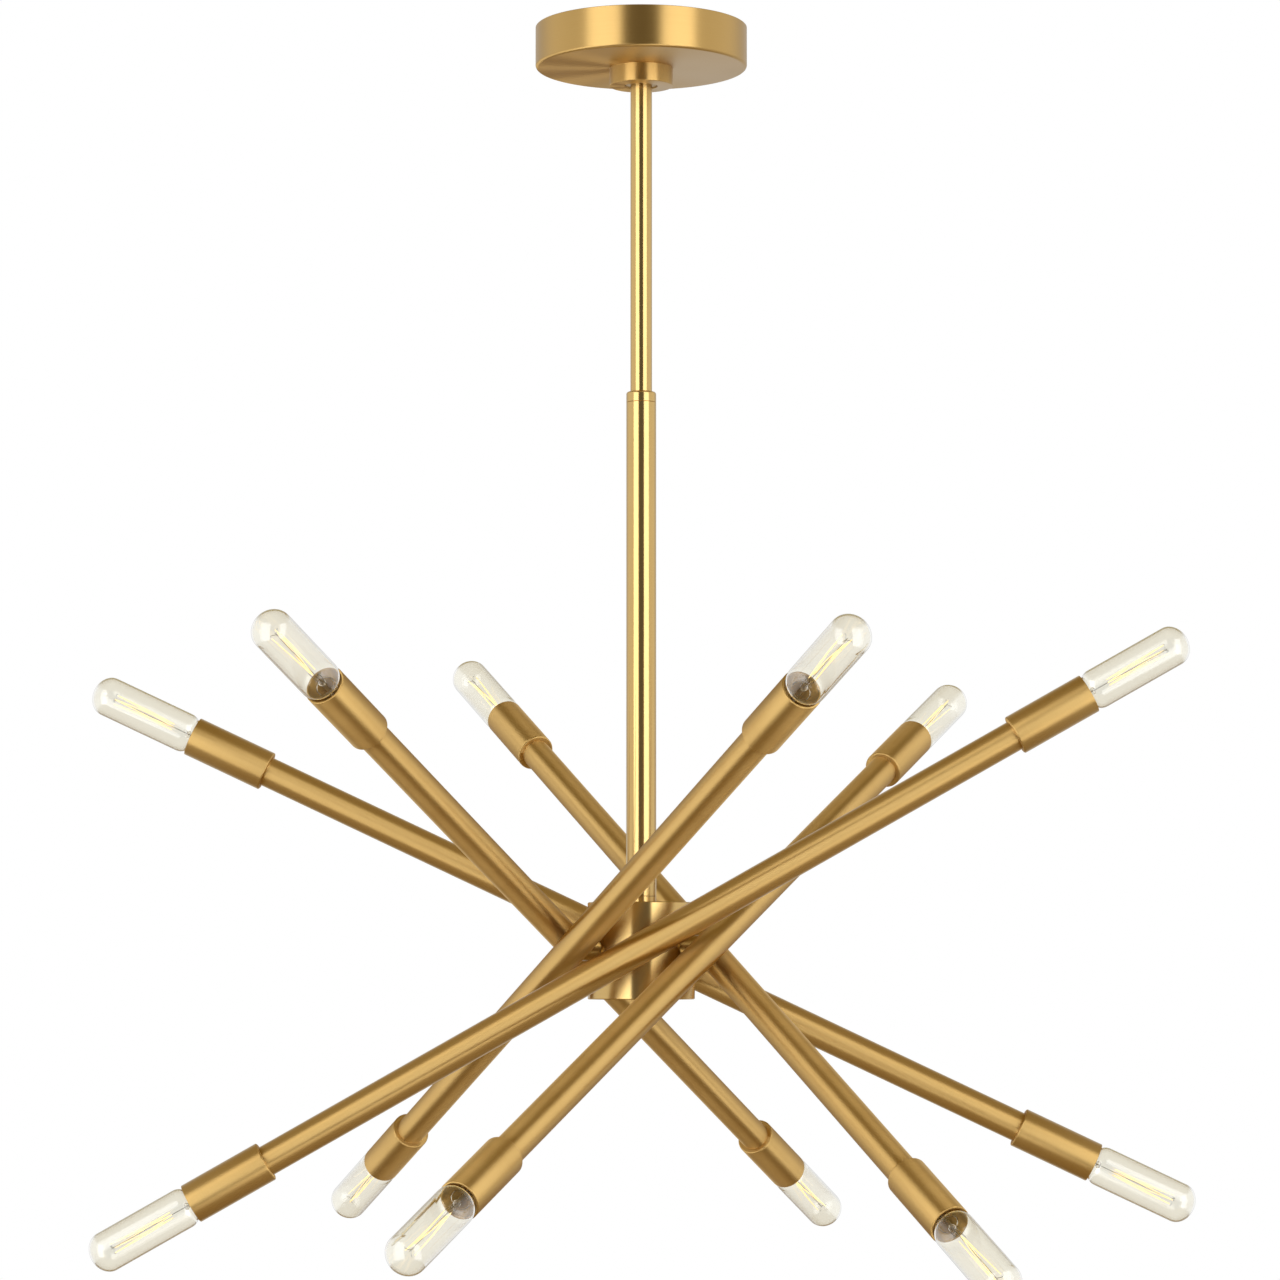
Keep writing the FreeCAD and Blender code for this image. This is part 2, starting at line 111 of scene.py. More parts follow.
class ChandelierStemSizes(bpy.types.PropertyGroup):
    """Sizes of the pieces on the chandelier's upright axis."""

    canopy_wall: length("Canopy wall", "Thickness of the canopy's sheet", 1.2)
    canopy_edge: length("Canopy edge", "Radius of the canopy's lower edge", 2.0)
    neck_hole: length("Neck hole", "Diameter of the canopy's hole for the collar's neck", 34.2)
    collar_mouth: length("Collar mouth", "Diameter of the collar's hole round the stem", 20.6)
    collar_floor: length("Collar floor", "Thickness of the collar's floor", 1.3)
    collar_neck: length("Collar neck", "Diameter of the neck inside the canopy", 34.0)
    collar_bore: length("Collar bore", "Diameter of the bore that holds the ball", 30.0)
    stem_wall: length("Stem wall", "Wall of the upper stem", 1.2)
    column_wall: length("Column wall", "Wall of the column tube", 1.25)
    ring_height: length("Reducing ring", "Height of the ring on the column's top", 6.9)
    ring_edge: length("Reducing ring edge", "Radius of the ring's upper edge", 1.6)
    base_ring: length("Base ring", "Height of the ring between column and hub", 4.0)
    seam: length("Seam", "Depth of the groove where two turned pieces meet", 0.4)
    hub_wall: length("Hub wall", "Wall of the hub's shell", 2.95)
    hub_edge: length("Hub edge", "Chamfer of the hub's edges", 0.5)
    cover_gap: length("Cover gap", "Gap round the hub's cover", 0.15)


class ChandelierArmSizes(bpy.types.PropertyGroup):
    """Sizes of one arm, its stud and its two cups."""

    tube: length("Arm tube", "Diameter of the arm's tube", 19.05)
    tube_wall: length("Arm wall", "Wall of the arm's tube", 1.2)
    half_length: length("Half length", "Middle of the arm to the end of its tube", 264.0)
    shoulder: length("Stud shoulder", "Diameter of the stud's shoulder", 16.0)
    shank: length("Stud shank", "Diameter of the stud's shank", 9.7)
    shoulder_seat: length("Shoulder seat", "Hub's centre to the shoulder's face", 32.45)
    cup: length("Cup", "Diameter of the cup", 25.2)
    cup_wall: length("Cup wall", "Wall of the cup", 1.2)
    cup_floor: length("Cup floor", "Thickness of the cup's closed end", 2.0)
    cup_length: length("Cup length", "Length of the cup", 52.6)
    cup_edge: length("Cup edge", "Radius round the cup's closed end", 1.0)
    cup_rim: length("Cup rim", "Chamfer round the cup's mouth", 0.35)
    socket: length("Socket", "Diameter of the lamp socket's body", 19.6)
    socket_front: length("Socket front", "Diameter of the lamp socket's front", 21.2)
    socket_length: length("Socket length", "Length of the lamp socket", 26.0)
    socket_bore: length("Socket bore", "Diameter of the bore that holds the cap", 12.1)


class ChandelierBulbSizes(bpy.types.PropertyGroup):
    """Sizes of one tubular bulb."""

    glass: length("Bulb", "Diameter of the glass", 25.3)
    glass_wall: length("Glass wall", "Thickness of the glass", 0.8)
    neck: length("Neck", "Diameter of the glass where it leaves the cap", 12.4)
    past_cup: length("Past the cup", "Cup's mouth to the bulb's tip", 69.4)
    dome: length("Dome", "Length of the domed end", 10.5)
    shoulder: length("Shoulder", "Length of the rounded shoulder", 7.5)
    full_past_cup: length("Full width", "Cup's mouth to where the glass has its full width", 6.2)
    cap: length("Cap", "Diameter of the screw cap", 11.8)
    cap_start: length("Cap start", "End of the tube to the cap's contact", 11.0)
    cap_thread: length("Cap thread", "Length of the cap's thread", 15.5)
    cap_skirt: length("Cap skirt", "Diameter of the cap's skirt", 13.4)
    cage: length("Filament circle", "Diameter of the circle that the filament stands on", 7.2)
    cage_start: length("Filament start", "Cup's mouth to the filament's lower turns", 13.0)
    cage_end: length("Filament end", "Bulb's tip to the filament's upper turns", 14.0)
    filament: length("Filament", "Thickness of the glowing wire", 0.45)
    lead: length("Lead", "Thickness of the lead wires", 0.42)


def srgb(text):
    """Linear colour of an sRGB hex value."""
    parts = [int(text[i:i + 2], 16) / 255 for i in (1, 3, 5)]
    return tuple(c / 12.92 if c <= 0.04045 else ((c + 0.055) / 1.055) ** 2.4 for c in parts)


def colour(name, description, text):
    """A colour property, given as an sRGB hex value."""
    return bpy.props.FloatVectorProperty(name=name, description=description, subtype="COLOR", size=3,
                                         min=0.0, max=1.0, default=srgb(text))


class ChandelierFinishes(bpy.types.PropertyGroup):
    """Colours of the chandelier's materials."""

    satin: colour("Satin brass", "Lacquered satin brass of the arms, cups and canopy", "#CDAB6C")
    satin_deep: colour("Satin brass, deep", "Colour between the brushed lines", "#BF9A5B")
    polished: colour("Fine brass", "Fine brass of the stem, column and hub", "#CEAF74")
    polished_deep: colour("Fine brass, deep", "Clouded tone in the fine brass", "#C2A164")
    plain: colour("Turned brass", "Plain turned brass of the inner pieces", "#B59558")
    cap: colour("Cap metal", "Pressed metal of the bulb's cap", "#D8C08A")
    socket: colour("Socket", "Moulded off-white of the lamp sockets", "#E9E4D6")
    steel: colour("Zinc plate", "Zinc-plated steel of the ceiling bar and nuts", "#C5C6C4")
    nylon: colour("Nylon", "Natural nylon of the bearing washer", "#E4E0D4")
    glass: colour("Bulb glass", "Faint warm tint of the blown glass", "#F8F6EE")
    glow: colour("Filament glow", "Light of the glowing wire", "#FFE3A6")
    room: colour("Room", "Dim warm tone of the room above and below the light", "#A6935F")
    floor: colour("Floor", "Floor under the chandelier", "#B7A27C")


# ---- modelling by hand, step by step


def deselect_all():
    """Object mode with nothing selected."""
    if bpy.context.mode != "OBJECT":
        bpy.ops.object.mode_set(mode="OBJECT")
    bpy.ops.object.select_all(action="DESELECT")


def finish_shape(name, smooth_angle):
    """Merge doubles, point faces outward, leave edit mode, name the piece, apply its place and shade it."""
    bpy.ops.mesh.select_all(action="SELECT")
    bpy.ops.mesh.remove_doubles(threshold=MERGE_DISTANCE)
    bpy.ops.mesh.normals_make_consistent(inside=False)
    bpy.ops.object.mode_set(mode="OBJECT")
    piece = bpy.context.object
    piece.name = name
    piece.data.name = name
    bpy.ops.object.transform_apply(location=True, rotation=True, scale=True)
    bpy.ops.object.shade_smooth_by_angle(angle=math.radians(smooth_angle))
    return piece


def turn(name, outline, segments, smooth_angle=32):
    """Turn a piece about Z: a ring of edges is extruded and scaled along an outline of (radius, height).

    An outline that ends where it starts makes a closed wall; one that ends on the axis is closed there."""
    deselect_all()
    radius, height = outline[0]
    bpy.ops.mesh.primitive_circle_add(vertices=segments, radius=radius, location=(0, 0, height),
                                      enter_editmode=True)
    for next_radius, next_height in outline[1:]:
        bpy.ops.mesh.extrude_edges_move(TRANSFORM_OT_translate={"value": (0, 0, next_height - height)})
        if next_radius == 0:
            bpy.ops.mesh.merge(type="CENTER")
            break
        scale = next_radius / radius
        bpy.ops.transform.resize(value=(scale, scale, 1), center_override=(0, 0, next_height))
        radius, height = next_radius, next_height
    return finish_shape(name, smooth_angle)


def close_ends(piece):
    """Fill a turned piece's open ends."""
    deselect_all()
    piece.select_set(True)
    bpy.context.view_layer.objects.active = piece
    bpy.ops.object.mode_set(mode="EDIT")
    bpy.ops.mesh.select_all(action="SELECT")
    bpy.ops.mesh.fill_holes(sides=0)
    return finish_shape(piece.name, HARD_EDGE_ANGLE)


def arc(centre, half_sizes, start, end, steps=8):
    """Outline points along part of an ellipse, from one angle to another in degrees."""
    points = []
    for i in range(steps + 1):
        angle = math.radians(start + (end - start) * i / steps)
        points.append((centre[0] + half_sizes[0] * math.cos(angle),
                       centre[1] + half_sizes[1] * math.sin(angle)))
    return points


def apply_modifier(piece, kind, **settings):
    """Add a modifier to a piece, set it and apply it."""
    deselect_all()
    piece.select_set(True)
    bpy.context.view_layer.objects.active = piece
    modifier = piece.modifiers.new(kind.title(), kind)
    for key, value in settings.items():
        setattr(modifier, key, value)
    bpy.ops.object.modifier_apply(modifier=modifier.name)


def copy_of(piece, name, matrix):
    """A copy with its own mesh, moved by a matrix that goes into the mesh."""
    twin = piece.copy()
    twin.data = piece.data.copy()
    twin.name = name
    twin.data.name = name
    bpy.context.scene.collection.objects.link(twin)
    twin.data.transform(matrix)
    return twin


def join(pieces, name):
    """Join pieces into the first one and name it."""
    deselect_all()
    for piece in pieces:
        piece.select_set(True)
    bpy.context.view_layer.objects.active = pieces[0]
    if len(pieces) > 1:
        bpy.ops.object.join()
    joined = bpy.context.object
    joined.name = name
    joined.data.name = name
    return joined


def remove(piece):
    """Delete a piece that was only a step on the way."""
    bpy.data.objects.remove(piece, do_unlink=True)


def remember_grain(piece):
    """Keep each point's place on the piece before it is placed, so that its grain follows it.

    A UV map is laid face by face too: U runs along the turned outline and V round it."""
    mesh = piece.data
    places = [0.0] * (3 * len(mesh.vertices))
    mesh.vertices.foreach_get("co", places)
    attribute = mesh.attributes.new(GRAIN, "FLOAT_VECTOR", "POINT")
    attribute.data.foreach_set("vector", places)
    layer = mesh.uv_layers.new(name=GRAIN_UV)
    for face in mesh.polygons:
        facing = math.atan2(face.center.y, face.center.x)
        upright = face.normal.x * math.cos(facing) + face.normal.y * math.sin(facing)
        for loop in face.loop_indices:
            point = mesh.vertices[mesh.loops[loop].vertex_index].co
            radius = math.hypot(point.x, point.y)
            angle = math.remainder(math.atan2(point.y, point.x) - facing, 2 * math.pi)
            along = upright * point.z - face.normal.z * radius
            layer.data[loop].uv = (along / MM, (facing + angle) * radius / MM)


def wire(name, points, thickness, roundness=3):
    """A round wire along a list of points, as a bevelled curve made a mesh."""
    deselect_all()
    bpy.ops.curve.primitive_bezier_curve_add(enter_editmode=True)
    bpy.ops.curve.select_all(action="SELECT")
    bpy.ops.curve.delete(type="VERT")
    bpy.ops.object.mode_set(mode="OBJECT")
    curve = bpy.context.object
    line = curve.data.splines.new("NURBS")
    line.points.add(len(points) - 1)
    for point, place in zip(line.points, points):
        point.co = (*place, 1)
    line.order_u = 3
    line.use_endpoint_u = True
    curve.data.bevel_depth = thickness / 2
    curve.data.bevel_resolution = roundness
    curve.data.resolution_u = 6
    curve.data.use_fill_caps = True
    bpy.ops.object.convert(target="MESH")
    bpy.ops.object.mode_set(mode="EDIT")
    return finish_shape(name, smooth_angle=40)


def dress(piece, material, body, slot, *nodes):
    """Give a finished piece its material, its body and the CAD nodes that it stands for. The slot argument
    is not used.
    """
    piece.data.materials.clear()
    piece.data.materials.append(material)
    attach(piece, body)
    if nodes:
        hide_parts(*nodes)


def paint(node, material):
    """Give a CAD node a material."""
    mesh = frame["nodes"][node].data
    mesh.materials.clear()
    mesh.materials.append(material)


def arm_number(joint):
    """The number at the end of the name of a joint's arm."""
    return joint["child"].split("_")[-1]


def arm_place(joint):
    """Matrix from an arm's own frame (X away from the hub, Z along its upper end) to its place.

    An arm stands upright at its joint's upper limit, which gives its tilt at rest."""
    outward = Vector(joint["axis"]).normalized()
    tilt = math.radians(90 - joint["range_deg"][1])
    level = Vector((0, 0, 1)).cross(outward)
    along = level * math.cos(tilt) + Vector((0, 0, 1)) * math.sin(tilt)
    turned = Matrix((outward, along.cross(outward), along)).transposed().to_4x4()
    return Matrix.Translation(Vector(joint["pos_m"])) @ turned


def let_light_in(glass):
    """Leave glass out of shadows, bounced light and mirror images: it doesn't darken what it encloses."""
    glass.visible_shadow = False
    glass.visible_diffuse = False
    glass.visible_glossy = False


def to_every_arm(piece, stem, material, slot, ends=2, extra=False):
    """Put a piece that is modelled on an arm's upper end onto one or both ends of each arm.

    Each arm's piece has its own mesh and stands for the CAD node of its name, unless it is an extra."""
    remember_grain(piece)
    far_end = Matrix.Rotation(math.pi, 4, "X")
    for joint in ARM_JOINTS:
        name = f"{stem}_{arm_number(joint)}"
        place = arm_place(joint)
        copies = [copy_of(piece, "near_end", place)]
        if ends == 2:
            copies.append(copy_of(piece, "far_end", place @ far_end))
        made = join(copies, name if extra else f"{name}_shape")
        if slot == "clear_glass":
            let_light_in(made)
        nodes = [] if extra else [name]
        dress(made, material, joint["child"], slot, *nodes)
    remove(piece)


# ---- materials


def add_node(tree, kind, inputs=None, **settings):
    """Add a shader node, set its properties, and set or link its inputs."""
    node = tree.nodes.new(kind)
    for key, value in settings.items():
        setattr(node, key, value)
    for key, value in (inputs or {}).items():
        if isinstance(value, bpy.types.NodeSocket):
            tree.links.new(value, node.inputs[key])
        else:
            node.inputs[key].default_value = value
    return node


def new_material(name):
    """A material with an empty node tree and its output node."""
    material = bpy.data.materials.new(name)
    material.use_nodes = True
    tree = material.node_tree
    tree.nodes.clear()
    return material, tree, add_node(tree, "ShaderNodeOutputMaterial")


def grain_noise(tree, spacing):
    """Noise laid over a piece as it was before it was placed, with a spacing (x, y, z) in millimetres."""
    place = add_node(tree, "ShaderNodeAttribute", attribute_name=GRAIN)
    scaled = add_node(tree, "ShaderNodeVectorMath",
                      {0: place.outputs["Vector"], 1: [1 / (size * MM) for size in spacing]},
                      operation="MULTIPLY")
    noise = add_node(tree, "ShaderNodeTexNoise",
                     {"Vector": scaled.outputs[0], "Scale": 1.0, "Detail": 2.0})
    return noise.outputs[0]


def object_noise(tree, size, detail):
    """Noise with spots of a size in millimetres."""
    place = add_node(tree, "ShaderNodeTexCoord")
    noise = add_node(tree, "ShaderNodeTexNoise",
                     {"Vector": place.outputs["Object"], "Scale": 1 / (size * MM), "Detail": detail})
    return noise.outputs[0]


def spread(tree, noise, low, high):
    """Map the usual range of a noise onto two values."""
    mapped = add_node(tree, "ShaderNodeMapRange",
                      {0: noise, 1: NOISE_LOW, 2: NOISE_HIGH, 3: low, 4: high})
    return mapped.outputs[0]


def between(tree, share, low, high):
    """A colour between two others."""
    mix = add_node(tree, "ShaderNodeMix", {0: share, 6: (*low, 1), 7: (*high, 1)}, data_type="RGBA")
    return mix.outputs[2]


def darker(tint, share):
    """A colour dimmed to a share of its brightness."""
    return [c * share for c in tint]


def bump(tree, height, strength, depth):
    """Normals bent by a relief with a depth in millimetres."""
    bent = add_node(tree, "ShaderNodeBump", {"Height": height, "Strength": strength, "Distance": depth * MM})
    return bent.outputs[0]


def principled(tree, output, inputs):
    """Join a Principled shader with these inputs to a material's output."""
    shader = add_node(tree, "ShaderNodeBsdfPrincipled", inputs)
    tree.links.new(shader.outputs[0], output.inputs[0])


def brushed_metal(name, bright, deep, rough, line_spacing, line_depth):
    """Metal with fine lines turned round it, as a lathe and a fine abrasive leave them under lacquer.

    The lines draw each highlight out along the piece and leave it sharp across the piece."""
    material, tree, output = new_material(name)
    lines = grain_noise(tree, (60, 60, line_spacing))
    clouds = grain_noise(tree, (35, 35, 35))
    both = add_node(tree, "ShaderNodeMix", {0: 0.5, 2: lines, 3: clouds}).outputs[0]
    tangent = add_node(tree, "ShaderNodeTangent", direction_type="UV_MAP", uv_map=GRAIN_UV)
    principled(tree, output, {"Base Color": between(tree, both, deep, bright), "Metallic": 1.0,
                              "Roughness": spread(tree, both, rough * 0.92, rough * 1.08),
                              "Anisotropic": 0.95, "Tangent": tangent.outputs[0],
                              "Normal": bump(tree, lines, 0.2, line_depth)})
    return material


def plain_metal(name, tint, rough, scale):
    """Plated or turned metal with slight clouding in its colour and gloss."""
    material, tree, output = new_material(name)
    clouds = object_noise(tree, scale, 3.0)
    principled(tree, output, {"Base Color": between(tree, clouds, darker(tint, 0.82), tint), "Metallic": 1.0,
                              "Roughness": spread(tree, clouds, rough * 0.85, rough * 1.2)})
    return material


def moulded(name, tint, rough, grain):
    """Moulded plastic: a nearly even colour with the faint orange-peel skin of the mould."""
    material, tree, output = new_material(name)
    skin = object_noise(tree, grain, 2.0)
    principled(tree, output, {"Base Color": between(tree, skin, darker(tint, 0.93), tint),
                              "Roughness": rough, "IOR": 1.5, "Normal": bump(tree, skin, 0.3, 0.05)})
    return material


def blown_glass(name, tint, rough=0.0):
    """Soda-lime glass, blown into a tube: clear, with slow waves in its wall that bend reflections."""
    material, tree, output = new_material(name)
    waves = object_noise(tree, 22, 0.0)
    principled(tree, output, {"Base Color": (*tint, 1), "Roughness": rough, "IOR": 1.5,
                              "Transmission Weight": 1.0, "Normal": bump(tree, waves, 0.15, 0.6)})
    return material


def glowing_wire(name, tint):
    """Tungsten wire at working heat: it gives its own warm light, a little uneven along the wire."""
    material, tree, output = new_material(name)
    coil = object_noise(tree, 3, 1.0)
    light = spread(tree, coil, 0.9, 1.3)
    principled(tree, output, {"Base Color": (*tint, 1), "Metallic": 1.0, "Roughness": 0.5,
                              "Emission Color": (*tint, 1), "Emission Strength": light})
    return material


def material_named(name):
    """A finished material by its name, made when it is first asked for."""
    if name in bpy.data.materials:
        return bpy.data.materials[name]
    look = bpy.context.scene.chandelier_finishes
    makers = {
        # Lines 0.8 mm apart stand for real ones of about 0.05 mm, which would not show.
        "brushed_brass": lambda: brushed_metal(name, look.satin, look.satin_deep, 0.42, 0.8, 0.004),
        "fine_brass": lambda: brushed_metal(name, look.polished, look.polished_deep, 0.25, 0.8, 0.002),
        "turned_brass": lambda: plain_metal(name, look.plain, 0.32, 2.5),
        "cap_brass": lambda: plain_metal(name, look.cap, 0.22, 3.0),
        "zinc_plate": lambda: plain_metal(name, look.steel, 0.35, 2.0),
        "lead_nickel": lambda: plain_metal(name, look.steel, 0.25, 1.0),
        "socket_phenolic": lambda: moulded(name, look.socket, 0.45, 0.8),
        "natural_nylon": lambda: moulded(name, look.nylon, 0.4, 0.8),
        "bulb_glass": lambda: blown_glass(name, look.glass),
        "pressed_glass": lambda: blown_glass(name, look.glass, 0.35),
        "tungsten": lambda: glowing_wire(name, look.glow),
    }
    return makers[name]()


# ---- the chandelier's pieces


class CHANDELIER_OT_ceiling_parts(bpy.types.Operator):
    """Finish the ceiling bar, its fasteners and the swivel's inner pieces"""

    bl_idname = "chandelier.ceiling_parts"
    bl_label = "Ceiling parts"

    def execute(self, context):
        finishes = {"ceiling_bar": "zinc_plate", "ceiling_bar_fasteners": "zinc_plate",
                    "swivel_cap": "turned_brass", "swivel_ball": "turned_brass",
                    "swivel_washer": "natural_nylon"}
        for node, name in finishes.items():
            paint(node, material_named(name))
        return {"FINISHED"}


class CHANDELIER_OT_canopy(bpy.types.Operator):
    """Model the round canopy pan"""

    bl_idname = "chandelier.canopy"
    bl_label = "Canopy"

    def execute(self, context):
        sizes = context.scene.chandelier_stem
        low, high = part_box("canopy")
        radius = high.x
        edge = sizes.canopy_edge
        wall = sizes.canopy_wall
        inner_edge = edge - wall
        hole = sizes.neck_hole / 2
        outline = [(hole, low.z)]
        outline += arc((radius - edge, low.z + edge), (edge, edge), -90, 0)
        outline += [(radius, high.z - BROKEN_EDGE), (radius - BROKEN_EDGE, high.z), (radius - wall, high.z)]
        outline += arc((radius - edge, low.z + edge), (inner_edge, inner_edge), 0, -90, 4)
        outline += [(hole, low.z + wall), (hole, low.z)]
        piece = turn("canopy_pan", outline, segments=192)
        remember_grain(piece)
        dress(piece, material_named("brushed_brass"), "ceiling_mount", "satin_brass", "canopy")
        return {"FINISHED"}


class CHANDELIER_OT_collar(bpy.types.Operator):
    """Model the swivel collar under the canopy"""

    bl_idname = "chandelier.collar"
    bl_label = "Swivel collar"

    def execute(self, context):
        sizes = context.scene.chandelier_stem
        low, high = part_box("swivel_collar")
        canopy_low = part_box("canopy")[0].z
        radius = high.x
        mouth = sizes.collar_mouth / 2
        neck = sizes.collar_neck / 2
        bore = sizes.collar_bore / 2
        edge = 0.5 * MM
        mouth_edge = 0.2 * MM
        outline = [(mouth, low.z + mouth_edge), (mouth + mouth_edge, low.z)]
        outline += arc((radius - edge, low.z + edge), (edge, edge), -90, 0, 4)
        outline += [(radius, canopy_low), (neck, canopy_low), (neck, high.z), (bore, high.z),
                    (bore, low.z + sizes.collar_floor), (mouth, low.z + sizes.collar_floor),
                    (mouth, low.z + mouth_edge)]
        piece = turn("collar_ring", outline, segments=128)
        remember_grain(piece)
        dress(piece, material_named("brushed_brass"), "ceiling_mount", "satin_brass", "swivel_collar")
        return {"FINISHED"}


class CHANDELIER_OT_stem(bpy.types.Operator):
    """Model the upper stem, the reducing ring, the column and the base ring"""

    bl_idname = "chandelier.stem"
    bl_label = "Stem and column"

    def execute(self, context):
        sizes = context.scene.chandelier_stem
        low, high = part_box("upper_stem")
        stem = high.x
        bore = stem - sizes.stem_wall
        chamfer = BROKEN_EDGE
        tube = turn("stem_tube", [(bore, low.z), (stem - chamfer, low.z), (stem, low.z + chamfer),
                                  (stem, high.z - chamfer), (stem - chamfer, high.z), (bore, high.z),
                                  (bore, low.z)], segments=64)
        low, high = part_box("column_tube")
        column = high.x
        inner = column - sizes.column_wall
        wide = turn("column_pipe", [(inner, low.z), (column, low.z), (column, high.z), (inner, high.z),
                                    (inner, low.z)], segments=80)
        seam = sizes.seam
        edge = sizes.ring_edge
        top = high.z + sizes.ring_height
        ring = [(stem, high.z), (column - seam, high.z), (column, high.z + seam)]
        ring += arc((column - edge, top - edge), (edge, edge), 0, 90)
        ring += [(stem, top), (stem, high.z)]
        bottom = low.z - sizes.base_ring
        ring_bore = inner - 3 * MM
        base = [(ring_bore, bottom), (column, bottom), (column, low.z - seam), (column - seam, low.z),
                (ring_bore, low.z), (ring_bore, bottom)]
        rings = join([turn("reducing_ring", ring, segments=80), turn("base_ring", base, segments=80)],
                     "column_end_rings")
        fine = material_named("fine_brass")
        for piece, node in ((tube, "upper_stem"), (wide, "column_tube"), (rings, "column_rings")):
            remember_grain(piece)
            dress(piece, fine, "hanging_frame", "polished_brass", node)
        return {"FINISHED"}


class CHANDELIER_OT_hub(bpy.types.Operator):
    """Model the hub with its six spot-faced stud seats, and the cover below it"""

    bl_idname = "chandelier.hub"
    bl_label = "Hub"

    def execute(self, context):
        sizes = context.scene.chandelier_stem
        arms = context.scene.chandelier_arms
        low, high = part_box("hub_shell")
        radius = high.x
        edge = sizes.hub_edge
        inner = radius - sizes.hub_wall
        roof = high.z - 3 * MM
        roof_hole = 8 * MM
        shell = turn("hub_turned", [(inner, low.z), (radius - edge, low.z), (radius, low.z + edge),
                                    (radius, high.z - edge), (radius - edge, high.z), (roof_hole, high.z),
                                    (roof_hole, roof), (inner, roof), (inner, low.z)], segments=192)
        clearance = 0.05 * MM
        past_wall = 4 * MM
        seat = arms.shoulder / 2 + 0.3 * MM
        shank = arms.shank / 2 + clearance
        face = arms.shoulder_seat - clearance
        cutters = []
        for joint in ARM_JOINTS:
            outward = Vector(joint["axis"])
            cutter = turn("seat_cutter", [(shank, inner - past_wall), (shank, face), (seat, face),
                                          (seat, radius + past_wall)], segments=64)
            close_ends(cutter)
            turned = outward.to_track_quat("Z", "Y").to_matrix().to_4x4()
            cutter.data.transform(Matrix.Translation((0, 0, joint["pos_m"][2])) @ turned)
            cutters.append(cutter)
        cutter = join(cutters, "seat_cutters")
        apply_modifier(shell, "BOOLEAN", operation="DIFFERENCE", object=cutter, solver="EXACT")
        remove(cutter)
        bpy.ops.object.shade_smooth_by_angle(angle=math.radians(HARD_EDGE_ANGLE))
        cover_low, cover_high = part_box("hub_cover")
        cover_radius = cover_high.x - sizes.cover_gap
        outline = [(cover_radius * 0.98, cover_low.z), (cover_radius - edge / 2, cover_low.z),
                   (cover_radius, cover_low.z + edge / 2), (cover_radius, cover_high.z), (0, cover_high.z)]
        cover = close_ends(turn("hub_cover_disc", outline, segments=128))
        fine = material_named("fine_brass")
        for piece, node in ((shell, "hub_shell"), (cover, "hub_cover")):
            remember_grain(piece)
            dress(piece, fine, "hanging_frame", "polished_brass", node)
        return {"FINISHED"}


class CHANDELIER_OT_arms(bpy.types.Operator):
    """Model the arm tubes, and finish the studs that they turn on"""

    bl_idname = "chandelier.arms"
    bl_label = "Arms"

    def execute(self, context):
        arms = context.scene.chandelier_arms
        radius = arms.tube / 2
        inner = radius - arms.tube_wall
        end = arms.half_length
        outline = [(inner, -end), (radius, -end), (radius, end), (inner, end), (inner, -end)]
        tube = turn("arm_pipe", outline, segments=80)
        to_every_arm(tube, "arm_tube", material_named("brushed_brass"), "satin_brass", ends=1)
        for joint in ARM_JOINTS:
            paint(f"arm_stud_{arm_number(joint)}", material_named("turned_brass"))
            paint(f"stud_nuts_{arm_number(joint)}", material_named("zinc_plate"))
        return {"FINISHED"}


class CHANDELIER_OT_cups(bpy.types.Operator):
    """Model the turned cups at the arms' ends"""

    bl_idname = "chandelier.cups"
    bl_label = "Cups"

    def execute(self, context):
        arms = context.scene.chandelier_arms
        radius = arms.cup / 2
        inner = radius - arms.cup_wall
        start = arms.half_length
        mouth = start + arms.cup_length
        edge = arms.cup_edge
        rim = arms.cup_rim
        inner_rim = 0.1 * MM
        bore = arms.shank / 2
        outline = [(bore, start)]
        outline += arc((radius - edge, start + edge), (edge, edge), -90, 0, 6)
        outline += arc((radius - rim, mouth - rim), (rim, rim), 0, 90, 3)
        outline += [(inner + inner_rim, mouth), (inner, mouth - inner_rim), (inner, start + arms.cup_floor),
                    (bore, start + arms.cup_floor), (bore, start)]
        cup = turn("cup", outline, segments=96)
        to_every_arm(cup, "socket_cups", material_named("brushed_brass"), "satin_brass")
        return {"FINISHED"}


